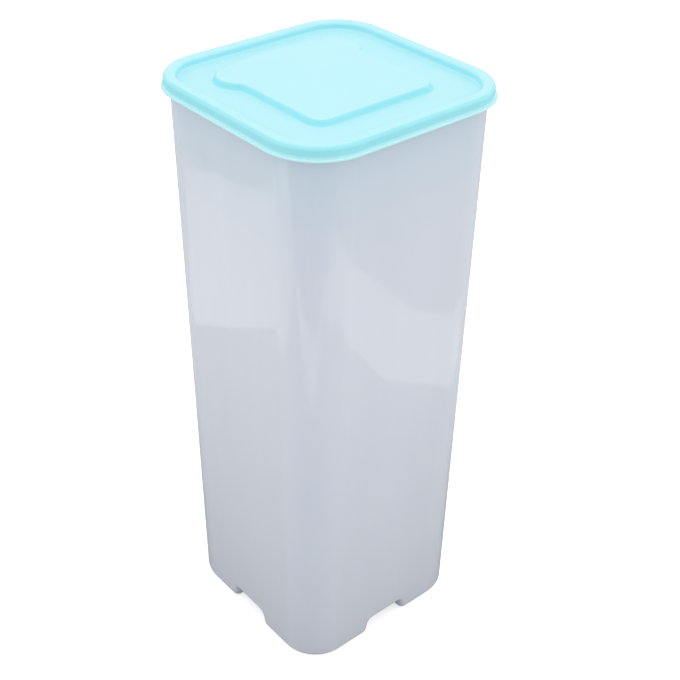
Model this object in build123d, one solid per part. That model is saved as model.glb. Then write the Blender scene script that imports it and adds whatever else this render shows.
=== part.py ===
"""Square bread box: a tall tapered container on four corner feet, and its press-on lid.

Lengths are millimetres and +Z is up. The feet stand on z = 0 and the box is centred on the
Z axis. The front, where the bottom edge of the bread-slice panel lies, faces -Y.
"""

import os
from math import atan, degrees

from build123d import *

# Container
body_height = 348.6  # feet to the top of the rim
mouth_width = 131.0  # outside, at the mouth
base_width = 124.6  # outside, at the feet
mouth_corner = 27.0  # outer corner radius at the mouth
body_wall = 1.6
floor_thickness = 2.0
base_rounding = 4.0  # where the side walls turn under
floor_chamfer = 1.4  # inside, keeps the wall even behind that rounding
rim_reach = 1.2  # how far the rim stands out from the wall
rim_height = 2.6
rim_chamfer = 0.6

# Channels that cross under the base and part the four feet
channel_width = 30.0  # where the feet meet the table
channel_height = 9.5
channel_slope = 14.0  # degrees that the channel's sides lean in
channel_rounding = 3.0  # between the channel's sides and its roof
foot_corner = 7.0  # inner corner of each foot, in plan

# Lid
lid_wall = 1.2
skirt_height = 7.2  # bottom of the flange to the top of the lid
lid_rounding = 2.2  # outer shoulder
groove_chamfer = 0.8  # underneath, keeps the wall even behind the shoulder
flange_reach = 1.3
flange_thickness = 1.2
flange_chamfer = 0.3
snap_height = 2.0
snap_chamfer = 0.5  # leads the rim in and out
plug_chamfer = 0.6
recess_depth = 4.2
recess_slope = 6.0  # degrees that the recess opens upward
recess_rounding = 2.0  # inner shoulder
recess_fillet = 1.2  # foot of the recess wall

# Clearances between the lid and the container
seat_gap = 0.2  # top of the rim to the roof of the lid's groove
skirt_gap = 0.8  # rim to the inside of the skirt
snap_gap = 0.15  # rim to the snap bead, which passes it when the lid comes off
plug_gap = 1.0  # wall of the mouth to the lid's plug

# Raised panel on the lid, shaped like a slice of bread
slice_width = 79.5
slice_bottom = -40.5  # straight bottom edge, from the middle of the lid
slice_corner = 9.0
crown_width = 92.0
crown_top = 49.5
lobe_radius = 14.0
lobe_centre = 31.5
neck_radius = 5.0
panel_rise = 3.0
panel_slope = 25.0
panel_rounding = 1.6
panel_fillet = 1.4

# Half widths and heights that follow from the sizes above
body_half = mouth_width / 2
rim_half = body_half + rim_reach
snap_half = rim_half + snap_gap
groove_half = rim_half + skirt_gap
skirt_half = groove_half + lid_wall
flange_half = skirt_half + flange_reach
plug_half = body_half - body_wall - plug_gap
groove_roof = body_height + seat_gap
lid_top = groove_roof + lid_wall
lid_bottom = lid_top - skirt_height
snap_top = lid_bottom + snap_height
recess_floor = lid_top - recess_depth
plug_bottom = recess_floor - lid_wall


def outline(half, z):
    """Rounded square at height z that runs parallel to the mouth of the container."""
    return Pos(0, 0, z) * RectangleRounded(2 * half, 2 * half, mouth_corner + half - body_half)


def slab(half, bottom, top):
    """Upright slab with that outline."""
    return extrude(outline(half, bottom), top - bottom)


def at_height(items, low, high):
    """Those edges or faces that lie between two heights."""
    margin = 0.001
    return items.filter_by_position(Axis.Z, low - margin, high + margin)


def rounds(shape):
    """The edges that run round a slab, above and below."""
    return shape.edges() - shape.edges().filter_by(Axis.Z)


def tapered_body(inset, bottom, top):
    """The container's drafted form, drawn in by inset, between two heights."""
    spread = (mouth_width - base_width) / 2 / body_height
    half = base_width / 2 + spread * bottom - inset
    return extrude(outline(half, bottom), top - bottom, taper=-degrees(atan(spread)))


def crossed_channels(grow):
    """The two channels under the base, thickened by grow on their sides and roof."""
    width, length, height = channel_width + 2 * grow, 2 * base_width, channel_height + grow
    plan = Rectangle(length, width) + Rectangle(width, length)
    inner_corners = plan.vertices().sort_by_distance((0, 0))[:4]
    plan = fillet(inner_corners, foot_corner - grow)
    cross = extrude(plan, height, taper=channel_slope)
    return fillet(at_height(cross.edges(), height, height), channel_rounding + grow)


def container():
    """One thin-walled moulding: tapered sides, a floor stepped over hollow feet, and a rim."""
    outside = tapered_body(0, 0, body_height) - crossed_channels(0)
    outside = fillet(at_height(outside.edges(), 0, channel_height), base_rounding)

    inside = tapered_body(body_wall, floor_thickness, body_height) - crossed_channels(body_wall)
    foot_floors = at_height(inside.edges(), floor_thickness, floor_thickness)
    inside = chamfer(foot_floors, floor_chamfer)

    rim = slab(rim_half, body_height - rim_height, body_height)
    return outside + chamfer(rounds(rim), rim_chamfer) - inside


def slice_outline():
    """A slice of bread: a square body, two round lobes and a low domed crown."""
    lobe_x = crown_width / 2 - lobe_radius
    rise = crown_top - lobe_centre
    dome_radius = (lobe_x**2 + rise**2 - lobe_radius**2) / (2 * (rise - lobe_radius))
    dome_centre = Vector(0, crown_top - dome_radius)
    lobes = [Vector(side * lobe_x, lobe_centre) for side in (-1, 1)]
    ends = [dome_centre + (lobe - dome_centre).normalized() * dome_radius for lobe in lobes]

    dome = ThreePointArc(ends[0], (0, crown_top), ends[1])
    crown = make_face(dome + Polyline(ends[1], lobes[1], lobes[0], ends[0]))
    crown += [Pos(lobe) * Circle(lobe_radius) for lobe in lobes]

    middle = (slice_bottom + lobe_centre) / 2
    body = Pos(0, middle) * Rectangle(slice_width, lobe_centre - slice_bottom)
    body = fillet(body.vertices().group_by(Axis.Y)[0], slice_corner)
    shape = crown + body
    necks = shape.vertices().filter_by_position(Axis.Y, middle, lobe_centre)
    return fillet(necks, neck_radius)


def raised_panel(inset, bottom, top):
    """The bread-slice panel with sloping sides, drawn in by inset."""
    shape = Pos(0, 0, bottom) * offset(slice_outline(), -inset)
    return extrude(shape, top - bottom, dir=(0, 0, 1), taper=panel_slope)


def lid_top_side():
    """The lid's outer form, solid underneath: flange, shoulder, recess and raised panel."""
    flange = slab(flange_half, lid_bottom, lid_bottom + flange_thickness)
    flange = chamfer(rounds(flange), flange_chamfer)
    shape = slab(skirt_half, lid_bottom, lid_top)
    shape = fillet(at_height(shape.edges(), lid_top, lid_top), lid_rounding) + flange

    recess = outline(plug_half - lid_wall, recess_floor)
    shape -= extrude(recess, recess_depth, dir=(0, 0, 1), taper=-recess_slope)
    crest = shape.faces().sort_by(Axis.Z)[-1]
    shape = fillet(crest.inner_wires()[0].edges(), recess_rounding)
    shape = fillet(at_height(shape.edges(), recess_floor, recess_floor), recess_fillet)

    panel_top = recess_floor + panel_rise
    panel = raised_panel(0, recess_floor, panel_top)
    shape += fillet(at_height(panel.edges(), panel_top, panel_top), panel_rounding)
    floor = at_height(shape.faces(), recess_floor, recess_floor)[0]
    return fillet(floor.inner_wires()[0].edges(), panel_fillet)


def lid():
    """One moulding of even wall: its groove caps the rim and its snap bead closes under it."""
    groove = slab(groove_half, snap_top, groove_roof)
    groove = chamfer(at_height(groove.edges(), groove_roof, groove_roof), groove_chamfer)
    mouth = slab(snap_half, lid_bottom, snap_top)
    plug = slab(plug_half, plug_bottom, groove_roof)
    plug = chamfer(at_height(plug.edges(), plug_bottom, plug_bottom), plug_chamfer)
    pocket = raised_panel(lid_wall, plug_bottom, plug_bottom + panel_rise)

    shape = lid_top_side() - (groove + mouth - plug) - pocket
    underneath = shape.faces().sort_by(Axis.Z)[0]
    return chamfer(underneath.inner_wires()[0].edges(), snap_chamfer)


parts = {"container": container, "lid": lid}
os.makedirs("parts", exist_ok=True)
for name, make in parts.items():
    export_step(make(), f"parts/{name}.step")
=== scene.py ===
"""Square bread box: the finishes of its container and press-on lid, the studio and the camera.

Lengths are metres and +Z is up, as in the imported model. The front of the box faces -Y.
"""

import logging
import math
from dataclasses import dataclass
from enum import Enum
from typing import Any

import bpy
from mathutils import Matrix, Vector

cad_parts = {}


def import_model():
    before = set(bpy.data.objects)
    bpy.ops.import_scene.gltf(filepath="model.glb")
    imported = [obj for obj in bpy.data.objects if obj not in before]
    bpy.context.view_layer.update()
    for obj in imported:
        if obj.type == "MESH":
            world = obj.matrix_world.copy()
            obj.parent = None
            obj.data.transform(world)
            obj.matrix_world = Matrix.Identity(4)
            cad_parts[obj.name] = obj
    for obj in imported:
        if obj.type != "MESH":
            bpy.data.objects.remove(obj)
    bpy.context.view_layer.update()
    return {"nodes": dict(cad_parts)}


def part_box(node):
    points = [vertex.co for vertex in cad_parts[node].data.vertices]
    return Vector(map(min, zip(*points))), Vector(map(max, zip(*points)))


log = logging.getLogger("bread_box")

Socket = bpy.types.NodeSocket
Colour = tuple[float, float, float]
Place = tuple[float, float, float]
# Where a gradual change begins and where it ends, or what it gives at those two.
Span = tuple[float, float]

WHITE: Colour = (1.0, 1.0, 1.0)
IN_PLAN: Place = (1.0, 1.0, 0.0)
DIAGONAL = 1.0 / math.sqrt(2.0)
ACROSS: Place = (DIAGONAL, -DIAGONAL, 0.0)
AWAY: Place = (DIAGONAL, DIAGONAL, 0.0)


class Blend(Enum):
    """How a Mix node lays one colour over another."""

    MIX = "MIX"
    MULTIPLY = "MULTIPLY"


class Tree:
    """A node tree with short calls that add nodes and join them.

    Each value that a call takes is a plain one or the output socket of another node.
    """

    def __init__(self, tree: bpy.types.NodeTree) -> None:
        """Take over a node tree."""
        self.tree = tree

    def add(
        self, kind: str, inputs: dict[Any, Any] | None = None, **settings: Any
    ) -> bpy.types.Node:
        """Add one node.

        Args:
            kind: the node's type without its ShaderNode prefix, or its full type name.
            inputs: what goes into its sockets, by name or number.
            settings: the node's own properties.

        Returns:
            The new node.
        """
        known = hasattr(bpy.types, kind)
        node = self.tree.nodes.new(kind if known else "ShaderNode" + kind)
        for name, value in settings.items():
            setattr(node, name, value)
        for name, value in (inputs or {}).items():
            self.feed(node.inputs[name], value)
        return node

    def feed(self, target: Socket, value: Any) -> None:
        """Join a socket to the target, or set the target's own value.

        Args:
            target: an input socket.
            value: an output socket, or a plain value.
        """
        if isinstance(value, Socket):
            self.tree.links.new(value, target)
        elif target.type == "RGBA" and len(value) == 3:
            target.default_value = (*value, 1.0)
        else:
            target.default_value = value

    def math(self, operation: str, first: Any, second: Any = 0.0) -> Socket:
        """One Math node's result."""
        return self.add("Math", {0: first, 1: second}, operation=operation).outputs[0]

    def vector(self, operation: str, first: Any, second: Any = (0.0, 0.0, 0.0)) -> Any:
        """One Vector Math node's outputs, which are Vector and Value."""
        return self.add("VectorMath", {0: first, 1: second}, operation=operation).outputs

    def ramp(self, value: Any, span: Span, result: Span = (0.0, 1.0)) -> Socket:
        """A smooth step of a value.

        Args:
            value: what drives the step.
            span: where the step begins and where it ends.
            result: what it gives at those two.

        Returns:
            The result's socket.
        """
        inputs = {"Value": value, "From Min": span[0], "From Max": span[1]}
        inputs |= {"To Min": result[0], "To Max": result[1]}
        return self.add("MapRange", inputs, interpolation_type="SMOOTHSTEP").outputs[0]

    def mix(self, factor: Any, base: Any, over: Any, blend: Blend = Blend.MIX) -> Socket:
        """One colour laid over another.

        Args:
            factor: how much of the upper colour shows.
            base: the lower colour.
            over: the upper colour.
            blend: how the two combine.

        Returns:
            The resulting colour's socket.
        """
        node = self.add("Mix", data_type="RGBA", blend_type=blend.value)
        self.feed(node.inputs["Factor"], factor)
        self.feed(node.inputs["A"], base)
        self.feed(node.inputs["B"], over)
        return node.outputs["Result"]

    def blend(self, factor: Any, first: Any, second: Any) -> Socket:
        """A number that goes from the first to the second as the factor goes from 0 to 1."""
        inputs = {"Factor": factor, "A": first, "B": second}
        return self.add("Mix", inputs, data_type="FLOAT").outputs[0]

    def noise(
        self, place: Any, scale: Any, detail: float = 2.0, roughness: float = 0.5
    ) -> Socket:
        """A cloud of noise about 0.5, of scale cycles to the metre and detail finer octaves."""
        inputs = {"Vector": place, "Scale": scale, "Detail": detail, "Roughness": roughness}
        return self.add("TexNoise", inputs).outputs["Fac"]

    def object_place(self, scale: Place = (1.0, 1.0, 1.0)) -> Socket:
        """The place on the piece, with each coordinate multiplied by its scale."""
        place = self.add("TexCoord").outputs["Object"]
        return self.add("Mapping", {"Vector": place, "Scale": scale}).outputs[0]


class Effect:
    """A shader node group that more than one finish uses, with named inputs and outputs."""

    name = "effect"
    inputs: dict[str, float] = {}
    outputs: tuple[str, ...] = ()

    def build(self) -> bpy.types.NodeTree:
        """Make the group once, or find it.

        Returns:
            The group's node tree.
        """
        found = bpy.data.node_groups.get(self.name)
        if found:
            return found
        group = bpy.data.node_groups.new(self.name, "ShaderNodeTree")
        sockets = group.interface
        for label, value in self.inputs.items():
            socket = sockets.new_socket(label, in_out="INPUT", socket_type="NodeSocketFloat")
            socket.default_value = value
        for label in self.outputs:
            sockets.new_socket(label, in_out="OUTPUT", socket_type="NodeSocketFloat")
        tree = Tree(group)
        entry = tree.add("NodeGroupInput")
        result = tree.add("NodeGroupOutput")
        for label, value in self.fill(tree, entry.outputs).items():
            tree.feed(result.inputs[label], value)
        return group

    def fill(self, tree: Tree, entry: Any) -> dict[str, Socket]:
        """Make the group's inner nodes, and give the socket of each output by its name."""
        raise NotImplementedError

    def place(self, tree: Tree, **values: float) -> Any:
        """Put the group into a material.

        Args:
            tree: the material's tree.
            values: the group's inputs, with underscores for spaces.

        Returns:
            The sockets of its outputs.
        """
        node = tree.add("Group", node_tree=self.build())
        for label, value in values.items():
            tree.feed(node.inputs[label.replace("_", " ")], value)
        return node.outputs


class Unevenness(Effect):
    """What moulding leaves in plastic: soft clouds, streaks along the flow and a fine grain."""

    name = "moulded_unevenness"
    inputs = {"Cloud Scale": 12.0, "Streak Scale": 60.0, "Stretch": 0.1}
    outputs = ("Clouds", "Streaks", "Grain")

    grain_scale = 1400.0

    def fill(self, tree: Tree, entry: Any) -> dict[str, Socket]:
        """Make the clouds, streaks and grain.

        Args:
            tree: the group's tree.
            entry: the sockets of its inputs.

        Returns:
            The socket of each output, by name.
        """
        place = tree.object_place()
        drawn = tree.add("CombineXYZ", {0: 1.0, 1: 1.0, 2: entry["Stretch"]}).outputs[0]
        along = tree.vector("MULTIPLY", place, drawn)["Vector"]
        clouds = tree.noise(place, entry["Cloud Scale"], detail=3.0)
        streaks = tree.noise(along, entry["Streak Scale"], detail=2.0)
        grain = tree.noise(place, self.grain_scale, detail=1.0)
        return {"Clouds": clouds, "Streaks": streaks, "Grain": grain}


class Wear(Effect):
    """Marks of use: rubbed high spots, faint hairline scuffs and a few specks."""

    name = "marks_of_use"
    inputs = {"Scuff Scale": 90.0, "Speck Scale": 26.0, "Speck Size": 0.035}
    outputs = ("Rubbed", "Scuffs", "Specks")

    edge_reach = 0.0012
    edge_samples = 4
    edge_turn: Span = (0.995, 0.9)
    patch_scale = 140.0
    patch_span: Span = (0.42, 0.62)
    scuff_stretch: Place = (1.0, 1.0, 0.22)
    scuff_middle = 0.5
    scuff_width = 0.012
    speck_choice = 0.72

    def fill(self, tree: Tree, entry: Any) -> dict[str, Socket]:
        """Make the rubbed edges, scuffs and specks.

        Args:
            tree: the group's tree.
            entry: the sockets of its inputs.

        Returns:
            The socket of each output, by name.
        """
        place = tree.object_place()
        soft = tree.add("Bevel", {"Radius": self.edge_reach}, samples=self.edge_samples)
        true = tree.add("NewGeometry").outputs["Normal"]
        likeness = tree.vector("DOT_PRODUCT", soft.outputs[0], true)["Value"]
        patchy = tree.ramp(tree.noise(place, self.patch_scale, detail=3.0), self.patch_span)
        rubbed = tree.math("MULTIPLY", tree.ramp(likeness, self.edge_turn), patchy)

        bent = tree.vector("MULTIPLY", place, self.scuff_stretch)["Vector"]
        waves = tree.noise(bent, entry["Scuff Scale"], detail=4.0, roughness=0.7)
        ridge = tree.math("ABSOLUTE", tree.math("SUBTRACT", waves, self.scuff_middle))
        scuffs = tree.ramp(ridge, (self.scuff_width, 0.0))

        cells = tree.add("TexVoronoi", {"Vector": place, "Scale": entry["Speck Scale"]}).outputs
        lot = tree.add("SeparateColor", {0: cells["Color"]}).outputs[0]
        chosen = tree.math("GREATER_THAN", lot, self.speck_choice)
        near = tree.math("LESS_THAN", cells["Distance"], entry["Speck Size"])
        specks = tree.math("MULTIPLY", near, chosen)
        return {"Rubbed": rubbed, "Scuffs": scuffs, "Specks": specks}


@dataclass(frozen=True)
class Plastic:
    """What both plastics share: light that spreads inside them, and fine marks on their skin."""

    name: str
    inner_light: float
    light_reach: float
    light_colours: Colour
    refraction: float
    grain: float
    scuff: float

    def begin(self) -> tuple[bpy.types.Material, Tree, Any]:
        """Make the material, with the light inside it.

        Returns:
            The material, its tree and the sockets of its shader's inputs.
        """
        material = bpy.data.materials.new(self.name)
        material.use_nodes = True
        shader = material.node_tree.nodes["Principled BSDF"].inputs
        shader["Subsurface Weight"].default_value = self.inner_light
        shader["Subsurface Radius"].default_value = self.light_colours
        shader["Subsurface Scale"].default_value = self.light_reach
        shader["IOR"].default_value = self.refraction
        return material, Tree(material.node_tree), shader

    def skin(self, tree: Tree, uneven: Any, worn: Any, broad: Socket) -> Socket:
        """The relief of the skin.

        Args:
            tree: the material's tree.
            uneven: the sockets of the moulded unevenness.
            worn: the sockets of the marks of use.
            broad: the height of the finish's own broad forms.

        Returns:
            The normal's socket.
        """
        fine = tree.math("MULTIPLY", uneven["Grain"], self.grain)
        marks = tree.math("MULTIPLY", worn["Scuffs"], -self.scuff)
        height = tree.math("ADD", broad, tree.math("ADD", fine, marks))
        return tree.add("Bump", {"Height": height, "Distance": 1.0, "Strength": 1.0}).outputs[0]


@dataclass(frozen=True)
class ContainerPlastic(Plastic):
    """Milky translucent plastic, moulded thin and glossy, with walls that ripple a little."""

    name: str = "container_plastic"
    inner_light: float = 0.3
    light_reach: float = 0.004
    light_colours: Colour = (0.8, 0.9, 1.0)
    refraction: float = 1.49
    grain: float = 0.0000004
    scuff: float = 0.0000015

    milk: Colour = (0.735, 0.775, 0.868)
    milk_deep: Colour = (0.716, 0.759, 0.855)
    cloud_span: Span = (0.3, 0.7)
    streak_span: Span = (0.35, 0.7)
    streak_shade: Span = (0.992, 1.006)
    # painted light: the lid's aqua light, painted on the walls under the mouth
    painted_lid_light_tint: Colour = (0.885, 0.978, 0.985)
    tint_begins: float = 0.075
    tint_full: float = 0.0075
    # painted shade: the rounded upright corners are painted a little darker and bluer
    painted_corner_shade_tint: Colour = (0.983, 0.994, 1.014)
    corner_turn: Span = (0.22, 0.5)
    rubbed: Colour = (0.80, 0.83, 0.90)
    rub_shows: float = 0.35
    speck_shows: float = 0.3
    gloss: Span = (0.024, 0.0375)
    gloss_span: Span = (0.25, 0.75)
    scuff_dulls: float = 0.05
    rub_dulls: float = 0.18
    ripple: float = 0.00004
    ripple_scale: float = 26.0
    ripple_stretch: Place = (1.0, 1.0, 0.35)

    def make(self, mouth: float) -> bpy.types.Material:
        """Make the material.

        Args:
            mouth: the height of the mouth, below which the lid's aqua light is painted on.

        Returns:
            The material.
        """
        material, tree, shader = self.begin()
        uneven = Unevenness().place(tree, Cloud_Scale=9.0, Streak_Scale=55.0, Stretch=0.06)
        worn = Wear().place(tree, Scuff_Scale=70.0, Speck_Scale=24.0, Speck_Size=0.03)

        colour = tree.mix(tree.ramp(uneven["Clouds"], self.cloud_span), self.milk_deep, self.milk)
        streaky = tree.ramp(uneven["Streaks"], self.streak_span, self.streak_shade)
        shade = tree.add("CombineColor", {0: streaky, 1: streaky, 2: streaky}).outputs[0]
        colour = tree.mix(1.0, colour, shade, Blend.MULTIPLY)
        # painted light: the band under the mouth is painted with the lid's aqua light
        colour = tree.mix(self.painted_lid_light_band(tree, mouth), colour, self.painted_lid_light_tint, Blend.MULTIPLY)
        # painted shade: the upright corners are painted a little darker and bluer
        colour = tree.mix(self.painted_corner_shade_mask(tree), colour, self.painted_corner_shade_tint, Blend.MULTIPLY)
        rubs = tree.math("MULTIPLY", worn["Rubbed"], self.rub_shows)
        specks = tree.math("MULTIPLY", worn["Specks"], self.speck_shows)
        colour = tree.mix(rubs, colour, self.rubbed)
        tree.feed(shader["Base Color"], tree.mix(specks, colour, self.milk_deep))

        rough = tree.ramp(uneven["Clouds"], self.gloss_span, self.gloss)
        rough = tree.math("ADD", rough, tree.math("MULTIPLY", worn["Scuffs"], self.scuff_dulls))
        rough = tree.math("ADD", rough, tree.math("MULTIPLY", worn["Rubbed"], self.rub_dulls))
        tree.feed(shader["Roughness"], rough)

        waves = tree.noise(tree.object_place(self.ripple_stretch), self.ripple_scale, detail=1.0)
        ripples = tree.math("MULTIPLY", waves, self.ripple)
        tree.feed(shader["Normal"], self.skin(tree, uneven, worn, ripples))
        return material

    def painted_lid_light_band(self, tree: Tree, mouth: float) -> Socket:
        """A mask of the band under the mouth, painted with the lid's aqua light."""
        level = tree.add("SeparateXYZ", {0: tree.add("TexCoord").outputs["Object"]}).outputs[2]
        return tree.ramp(level, (mouth - self.tint_begins, mouth - self.tint_full))

    def painted_corner_shade_mask(self, tree: Tree) -> Socket:
        """A mask of the rounded upright corners, painted a little darker and bluer as shade.

        Args:
            tree: the material's tree.

        Returns:
            The mask's socket.
        """
        side =tree.add("SeparateXYZ", {0: tree.add("NewGeometry").outputs["Normal"]}).outputs
        skew = tree.math("ABSOLUTE", tree.math("MULTIPLY", side[0], side[1]))
        return tree.ramp(skew, self.corner_turn)


@dataclass(frozen=True)
class LidPlastic(Plastic):
    """Opaque aqua satin plastic, with painted light where it faces up and at its thin lip."""

    name: str = "lid_plastic"
    inner_light: float = 0.15
    light_reach: float = 0.002
    light_colours: Colour = (0.6, 0.95, 1.0)
    refraction: float = 1.5
    grain: float = 0.000008
    scuff: float = 0.000008

    aqua: Colour = (0.360, 0.852, 0.928)
    aqua_deep: Colour = (0.340, 0.832, 0.913)
    cloud_span: Span = (0.3, 0.7)
    # pale colour for painted light on what faces up, and for real rubs and scuffs
    pale_light_and_wear: Colour = (0.50, 0.890, 0.970)
    painted_light_drift_span: Span = (0.35, 0.65)
    painted_light_drift: Span = (-0.05, 0.05)
    flat_turn: Span = (0.86, 1.0)
    flat_painted_light: Span = (0.0, 0.95)
    recess_side: Span = (0.0, -0.008)
    recess_turn: Span = (0.0, 0.8)
    recess_painted_light: Span = (0.25, 0.95)
    spot_place: Place = (0.0442, 0.0250, 0.0)
    spot_edge: Span = (0.009, 0.0054)
    spot_painted_light: Span = (0.0, 0.92)
    # painted light on the thin lip along the lid's lower edge
    lip_painted_light: Colour = (0.63, 0.950, 0.985)
    lip_height: float = 0.0022
    lip_soft: float = 0.0006
    lip_painted_light_amount: Span = (0.0, 0.84)
    rub_shows: float = 0.3
    scuff_shows: float = 0.06
    satin: Span = (0.3128, 0.3808)
    satin_span: Span = (0.3, 0.7)
    rub_dulls: float = 0.12
    sink: float = 0.00006

    def make(self, foot: float) -> bpy.types.Material:
        """Make the material.

        Args:
            foot: the height of the lid's lower edge.

        Returns:
            The material.
        """
        material, tree, shader = self.begin()
        uneven = Unevenness().place(tree, Cloud_Scale=22.0, Streak_Scale=40.0, Stretch=1.0)
        worn = Wear().place(tree, Scuff_Scale=110.0, Speck_Scale=34.0, Speck_Size=0.02)

        # painted light: what faces up, the recess's walls and one spot are painted paler
        drift = tree.ramp(uneven["Streaks"], self.painted_light_drift_span, self.painted_light_drift)
        painted_light = tree.math("ADD", self.painted_light_mask(tree), drift)
        rubs = tree.math("MULTIPLY", worn["Rubbed"], self.rub_shows)
        scuffs = tree.math("MULTIPLY", worn["Scuffs"], self.scuff_shows)
        colour = tree.mix(tree.ramp(uneven["Clouds"], self.cloud_span), self.aqua_deep, self.aqua)
        colour = tree.mix(painted_light, colour, self.pale_light_and_wear)
        # painted light: the thin lip is painted paler
        colour = tree.mix(self.painted_lip_light_mask(tree, foot), colour, self.lip_painted_light)
        colour = tree.mix(rubs, colour, self.pale_light_and_wear)
        tree.feed(shader["Base Color"], tree.mix(scuffs, colour, self.pale_light_and_wear))

        rough = tree.ramp(uneven["Streaks"], self.satin_span, self.satin)
        rough = tree.math("ADD", rough, tree.math("MULTIPLY", worn["Rubbed"], self.rub_dulls))
        tree.feed(shader["Roughness"], rough)

        sunk = tree.math("MULTIPLY", uneven["Clouds"], self.sink)
        tree.feed(shader["Normal"], self.skin(tree, uneven, worn, sunk))
        return material

    def painted_lip_light_mask(self, tree: Tree, foot: float) -> Socket:
        """A mask of the thin lip along the lid's lower edge, which is painted paler as light.

        Args:
            tree: the material's tree.
            foot: the height of that edge.

        Returns:
            The mask's socket.
        """
        level = tree.add("SeparateXYZ", {0: tree.add("TexCoord").outputs["Object"]}).outputs[2]
        top = foot + self.lip_height
        return tree.ramp(level, (top + self.lip_soft, top - self.lip_soft), self.lip_painted_light_amount)

    def painted_light_mask(self, tree: Tree) -> Socket:
        """A mask of painted light on what faces up, on the recess's walls and on one spot.

        Args:
            tree: the material's tree.

        Returns:
            The mask's socket.
        """
        normal = tree.add("NewGeometry").outputs["Normal"]
        upward = tree.add("SeparateXYZ", {0: normal}).outputs[2]
        place = tree.object_place(IN_PLAN)
        outward = tree.vector("DOT_PRODUCT", normal, place)["Value"]
        # painted light: the recess's walls are painted paler over their shade
        walls = tree.ramp(upward, self.recess_turn, self.recess_painted_light)
        recess = tree.math("MULTIPLY", tree.ramp(outward, self.recess_side), walls)
        pale = tree.math("MAXIMUM", tree.ramp(upward, self.flat_turn, self.flat_painted_light), recess)
        # painted light: one spot on a lobe's wall is painted pale over its shade
        apart = tree.vector("DISTANCE", place, self.spot_place)["Value"]
        return tree.math("MAXIMUM", pale, tree.ramp(apart, self.spot_edge, self.spot_painted_light))


@dataclass
class Moulding:
    """A packed moulding that stays as it is, with its faces joined for shading and its finish."""

    node: str
    slot: str
    merge: float = 0.000002
    flat_weight: int = 100

    def smooth(self, piece: bpy.types.Object) -> None:
        """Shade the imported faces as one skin, with the flat faces kept flat.

        Args:
            piece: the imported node's object.
        """
        weld = piece.modifiers.new("joined_faces", "WELD")
        weld.merge_threshold = self.merge
        weighted = piece.modifiers.new("flat_faces_lead", "WEIGHTED_NORMAL")
        weighted.weight = self.flat_weight
        weighted.keep_sharp = True

    def dress(self, piece: bpy.types.Object, material: bpy.types.Material) -> None:
        """Give the piece its finish.

        Args:
            piece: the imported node's object.
            material: its finish.
        """
        piece.data.materials.clear()
        piece.data.materials.append(material)
        log.info("%s: dressed in %s", piece.name, material.name)


@dataclass
class Container(Moulding):
    """The tall tapered container."""

    node: str = "container"
    slot: str = "container_plastic"

    def build(self, nodes: dict[str, bpy.types.Object]) -> None:
        """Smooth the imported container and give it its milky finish.

        Args:
            nodes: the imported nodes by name.
        """
        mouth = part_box(self.node)[1].z
        self.smooth(nodes[self.node])
        self.dress(nodes[self.node], ContainerPlastic().make(mouth))


@dataclass
class Lid(Moulding):
    """The press-on lid."""

    node: str = "lid"
    slot: str = "lid_plastic"

    def build(self, nodes: dict[str, bpy.types.Object]) -> None:
        """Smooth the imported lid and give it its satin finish.

        Args:
            nodes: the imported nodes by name.
        """
        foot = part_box(self.node)[0].z
        self.smooth(nodes[self.node])
        self.dress(nodes[self.node], LidPlastic().make(foot))


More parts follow.
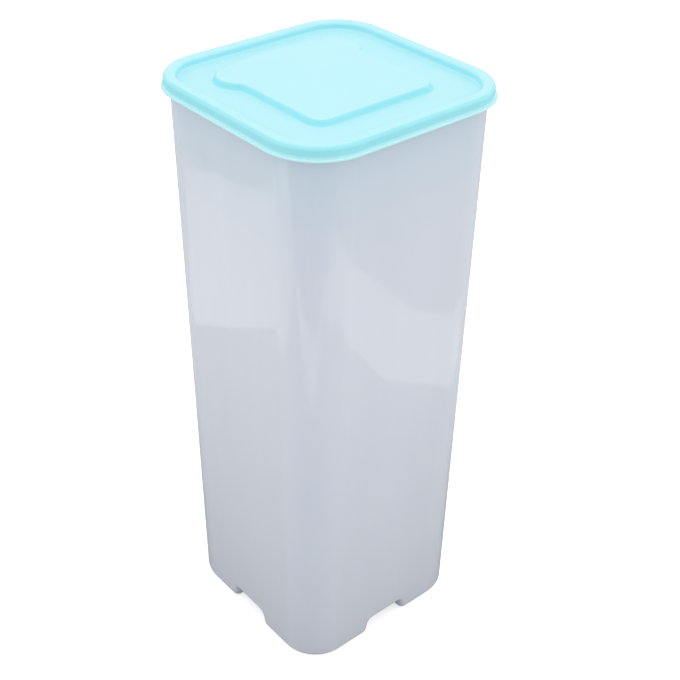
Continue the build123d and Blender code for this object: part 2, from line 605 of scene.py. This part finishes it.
@dataclass(frozen=True)
class MirrorGlowSheets:
    """Glowing sheets on the floor, seen only by mirrors: painted reflections on the box's walls.

    A place is given by how far it lies across, to the right in the picture, and how far away
    from the camera, both from the middle of the box. A sheet's near edge is the one towards the
    box. An edge with two places moves from the first to the second between the two distances
    away of its shift. A slope is how far an edge moves across for each metre away, or the other
    way round at the front.
    """

    left_near: Span = (-0.366, -0.324)
    left_near_shift: Span = (-0.04, -0.11)
    left_far: float = -0.655
    left_level: float = 0.86
    torn: Span = (-0.05, 0.05)
    torn_scale: float = 15.0
    torn_span: Span = (0.35, 0.65)
    right_near: Span = (0.297, 0.342)
    right_near_shift: Span = (-0.045, -0.09)
    right_near_slope: float = 1.1
    right_far: Span = (0.405, 0.475)
    right_far_shift: Span = (-0.04, -0.095)
    right_far_slope: float = 0.46
    right_turn: float = -0.25
    right_end: float = -0.47
    tip: float = -0.32
    tip_across: float = -0.019
    tip_left_slope: float = 0.28
    tip_right_slope: float = 0.72
    end: float = -0.425
    end_turn: float = 0.05
    end_slope: float = 0.5
    ragged: Span = (-0.004, 0.004)
    ragged_scale: float = 14.0
    ragged_span: Span = (0.25, 0.75)
    crisp: float = 0.003
    blurred: float = 0.03

    def mask(self, tree: Tree, place: Socket) -> Socket:
        """A mask of all the sheets, which end together towards the camera.

        Args:
            tree: the material's tree.
            place: the socket of the place on the floor.

        Returns:
            The mask's socket, from 0 off the sheets to 1 on them.
        """
        wobble = tree.ramp(tree.noise(place, self.ragged_scale), self.ragged_span, self.ragged)
        across = tree.math("ADD", tree.vector("DOT_PRODUCT", place, ACROSS)["Value"], wobble)
        away = tree.math("ADD", tree.vector("DOT_PRODUCT", place, AWAY)["Value"], wobble)
        left = self.left(tree, place, across, away)
        sides = tree.math("MAXIMUM", left, self.right(tree, across, away))
        sheets = tree.math("MAXIMUM", sides, self.front(tree, across, away))
        past = tree.math("SUBTRACT", across, self.end_turn)
        end = tree.math("SUBTRACT", self.end, self.bend(tree, past, self.end_slope))
        return tree.math("MULTIPLY", sheets, self.above(tree, away, end, self.crisp))

    def left(self, tree: Tree, place: Socket, across: Socket, away: Socket) -> Socket:
        """The sheet that lies on the left, whose far edge is torn.

        Args:
            tree: the material's tree.
            place: the socket of the place on the floor.
            across: the socket of the place across.
            away: the socket of the place away.

        Returns:
            The sheet's mask.
        """
        near = tree.ramp(away, self.left_near_shift, self.left_near)
        begun = self.above(tree, near, across, self.crisp)
        tear = tree.ramp(tree.noise(place, self.torn_scale, detail=3.0), self.torn_span, self.torn)
        far = tree.math("ADD", tear, self.left_far)
        whole = tree.math("MULTIPLY", begun, self.above(tree, across, far, self.blurred))
        return tree.math("MULTIPLY", whole, self.left_level)

    def right(self, tree: Tree, across: Socket, away: Socket) -> Socket:
        """The sheet that lies on the right, which turns inward towards the front.

        Args:
            tree: the material's tree.
            across: the socket of the place across.
            away: the socket of the place away.

        Returns:
            The sheet's mask.
        """
        turned = tree.math("SUBTRACT", self.right_turn, away)
        near = tree.ramp(away, self.right_near_shift, self.right_near)
        near = tree.math("SUBTRACT", near, self.bend(tree, turned, self.right_near_slope))
        far = tree.ramp(away, self.right_far_shift, self.right_far)
        far = tree.math("SUBTRACT", far, self.bend(tree, turned, self.right_far_slope))
        begun = self.above(tree, across, near, self.crisp)
        whole = tree.math("MULTIPLY", begun, self.above(tree, far, across, self.crisp))
        return tree.math("MULTIPLY", whole, self.above(tree, away, self.right_end, self.crisp))

    def front(self, tree: Tree, across: Socket, away: Socket) -> Socket:
        """The sheet in front, whose near edge comes to a point.

        Args:
            tree: the material's tree.
            across: the socket of the place across.
            away: the socket of the place away.

        Returns:
            The sheet's mask.
        """
        side = tree.math("SUBTRACT", across, self.tip_across)
        left = self.bend(tree, tree.math("MULTIPLY", side, -1.0), self.tip_left_slope)
        right = self.bend(tree, side, self.tip_right_slope)
        near = tree.math("SUBTRACT", self.tip, tree.math("ADD", left, right))
        return self.above(tree, near, away, self.crisp)

    def bend(self, tree: Tree, past: Socket, slope: float) -> Socket:
        """How far a sloping edge has moved at a distance past the point where it turns."""
        return tree.math("MULTIPLY", tree.math("MAXIMUM", past, 0.0), slope)

    def above(self, tree: Tree, value: Any, limit: Any, soft: float) -> Socket:
        """A mask that is 1 where a value is above a limit, and soft on either side of it."""
        return tree.ramp(tree.math("SUBTRACT", value, limit), (-soft, soft))


@dataclass
class Studio:
    """A pale floor, a soft white sky that is brightest at both sides, and a wide lamp above."""

    floor_size: float = 12.0
    floor_tone: Colour = (0.82, 0.82, 0.83)
    floor_deep: Colour = (0.77, 0.77, 0.78)
    # painted shade on the floor round the box, which lowers the light it bounces
    floor_painted_shade: Colour = (0.39, 0.39, 0.40)
    tone_scale: float = 3.0
    tone_span: Span = (0.3, 0.7)
    shaded_reach: Span = (0.07, 0.40)
    floor_glow: float = 0.62
    sky_level: Span = (0.60, 1.30)
    # to mirrors the floor glows: painted shade near the box, painted reflections in sheets
    mirror_bare: Span = (0.27, 0.56)
    mirror_behind: float = 0.62
    behind_reach: Span = (0.07, 0.22)
    sheet_glow_level: float = 1.25
    top_place: Place = (-0.15, -0.25, 1.7)
    top_aim: Place = (0.0, 0.0, 0.17)
    top_size: float = 1.4
    top_watts: float = 4.0

    def floor_material(self) -> bpy.types.Material:
        """The floor's finish: white to the camera under the object's shadow, and pale to light.

        Round the box it is painted darker as shade, and a mirror sees it glow in sheets.

        Returns:
            The material.
        """
        material = bpy.data.materials.new("studio_floor")
        material.use_nodes = True
        tree = Tree(material.node_tree)
        material.node_tree.nodes.remove(material.node_tree.nodes["Principled BSDF"])
        output = material.node_tree.nodes["Material Output"]
        path = tree.add("LightPath").outputs

        place = tree.add("TexCoord").outputs["Object"]
        drift = tree.ramp(tree.noise(place, self.tone_scale), self.tone_span)
        tone = tree.mix(drift, self.floor_tone, self.floor_deep)
        pale = tree.add("BsdfDiffuse", {"Color": tone}).outputs[0]
        white = tree.add("Emission", {"Color": WHITE, "Strength": self.floor_glow}).outputs[0]
        seen = tree.add("AddShader", {0: pale, 1: white}).outputs[0]

        reach = tree.vector("LENGTH", place)["Value"]
        # painted shade: the floor round the box is painted darker for the light it bounces
        dimmed = tree.mix(tree.ramp(reach, self.shaded_reach), self.floor_painted_shade, tone)
        matte = tree.add("BsdfDiffuse", {"Color": dimmed}).outputs[0]
        # mirrors see the floor glow: dim round the box as painted shade, bright sheets as painted
        # reflections
        level = self.mirror_level(tree, place, reach)
        bright = tree.add("Emission", {"Color": WHITE, "Strength": level}).outputs[0]
        lit = tree.add("MixShader", {0: path["Is Glossy Ray"], 1: matte, 2: bright}).outputs[0]
        result = tree.add("MixShader", {0: path["Is Camera Ray"], 1: lit, 2: seen}).outputs[0]
        tree.feed(output.inputs["Surface"], result)
        return material

    def mirror_level(self, tree: Tree, place: Socket, reach: Socket) -> Socket:
        """How brightly a place on the floor glows to a mirror, as painted shade and reflections.

        Args:
            tree: the material's tree.
            place: the socket of the place.
            reach: the socket of its distance from the middle of the box.

        Returns:
            The level's socket.
        """
        away = tree.vector("DOT_PRODUCT", place, AWAY)["Value"]
        behind = tree.ramp(away, self.behind_reach)
        # painted shade in reflections: the glow is dimmer close to the box
        bare = tree.ramp(reach, self.shaded_reach, self.mirror_bare)
        bare = tree.blend(behind, bare, self.mirror_behind)
        beside = tree.math("SUBTRACT", 1.0, behind)
        sheets = tree.math("MULTIPLY", MirrorGlowSheets().mask(tree, place), beside)
        return tree.blend(sheets, bare, self.sheet_glow_level)

    def build(self) -> None:
        """Lay the floor, hang the lamp and set the sky."""
        bpy.ops.mesh.primitive_plane_add(size=self.floor_size)
        floor = bpy.context.object
        floor.name = "studio_floor"
        floor.data.materials.append(self.floor_material())
        self.lamp()
        self.sky()
        log.info("studio: floor, lamp and sky")

    def lamp(self) -> None:
        """Hang the square soft lamp, which faces the middle of the box."""
        data = bpy.data.lights.new("soft_top", "AREA")
        data.shape = "SQUARE"
        data.size = self.top_size
        data.energy = self.top_watts
        lamp = bpy.data.objects.new("soft_top", data)
        bpy.context.scene.collection.objects.link(lamp)
        lamp.location = self.top_place
        way = Vector(self.top_aim) - Vector(self.top_place)
        lamp.rotation_euler = way.to_track_quat("-Z", "Y").to_euler()
        lamp.visible_camera = False

    def sky(self) -> None:
        """Set a sky that the camera and mirrors see white, and that lights both sides most."""
        world = bpy.data.worlds.new("studio_sky")
        bpy.context.scene.world = world
        world.use_nodes = True
        tree = Tree(world.node_tree)
        background = world.node_tree.nodes["Background"].inputs
        tree.feed(background["Color"], WHITE)
        path = tree.add("LightPath").outputs
        seen = tree.math("MAXIMUM", path["Is Camera Ray"], path["Is Glossy Ray"])
        seen = tree.math("MAXIMUM", seen, path["Is Transmission Ray"])
        way = tree.add("TexCoord").outputs["Generated"]
        sideways = tree.math("ABSOLUTE", tree.vector("DOT_PRODUCT", way, ACROSS)["Value"])
        light = tree.ramp(sideways, (0.0, 1.0), self.sky_level)
        tree.feed(background["Strength"], tree.blend(seen, light, 1.0))


@dataclass
class Photographer:
    """The camera at the photograph's angle, distance and framing."""

    azimuth: float = -39.91
    elevation: float = 35.73
    distance: float = 0.70132
    aim_height: float = 0.170
    roll: float = 0.555
    frame_side: float = 680.0
    focal_pixels: float = 1177.6
    right_pixels: float = -14.60
    down_pixels: float = 23.98
    sensor: float = 36.0
    nearest: float = 0.01

    def build(self) -> None:
        """Set up the scene's camera."""
        azimuth = math.radians(self.azimuth)
        elevation = math.radians(self.elevation)
        level = Vector((math.sin(azimuth), -math.cos(azimuth), 0.0)) * math.cos(elevation)
        back = level + Vector((0.0, 0.0, math.sin(elevation)))
        right = Vector((math.cos(azimuth), math.sin(azimuth), 0.0))
        up = back.cross(right)
        roll = Matrix.Rotation(math.radians(self.roll), 3, "Z")
        turn = Matrix((right, up, back)).transposed() @ roll
        stand = back * self.distance + Vector((0.0, 0.0, self.aim_height))

        data = bpy.data.cameras.new("photographer")
        data.sensor_width = self.sensor
        data.lens = self.focal_pixels / self.frame_side * self.sensor
        data.shift_x = -self.right_pixels / self.frame_side
        data.shift_y = self.down_pixels / self.frame_side
        data.clip_start = self.nearest
        camera = bpy.data.objects.new("photographer", data)
        bpy.context.scene.collection.objects.link(camera)
        camera.matrix_world = Matrix.Translation(stand) @ turn.to_4x4()
        bpy.context.scene.camera = camera
        log.info("camera: %.1f mm lens at %.3f m", data.lens, self.distance)


def main() -> None:
    """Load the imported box, dress it, and set the studio and the camera."""
    logging.basicConfig(level=logging.INFO, format="%(name)s: %(message)s")
    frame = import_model()
    bpy.context.scene.view_settings.view_transform = "Standard"
    Container().build(frame["nodes"])
    Lid().build(frame["nodes"])
    Studio().build()
    Photographer().build()


if __name__ == "__main__":
    main()
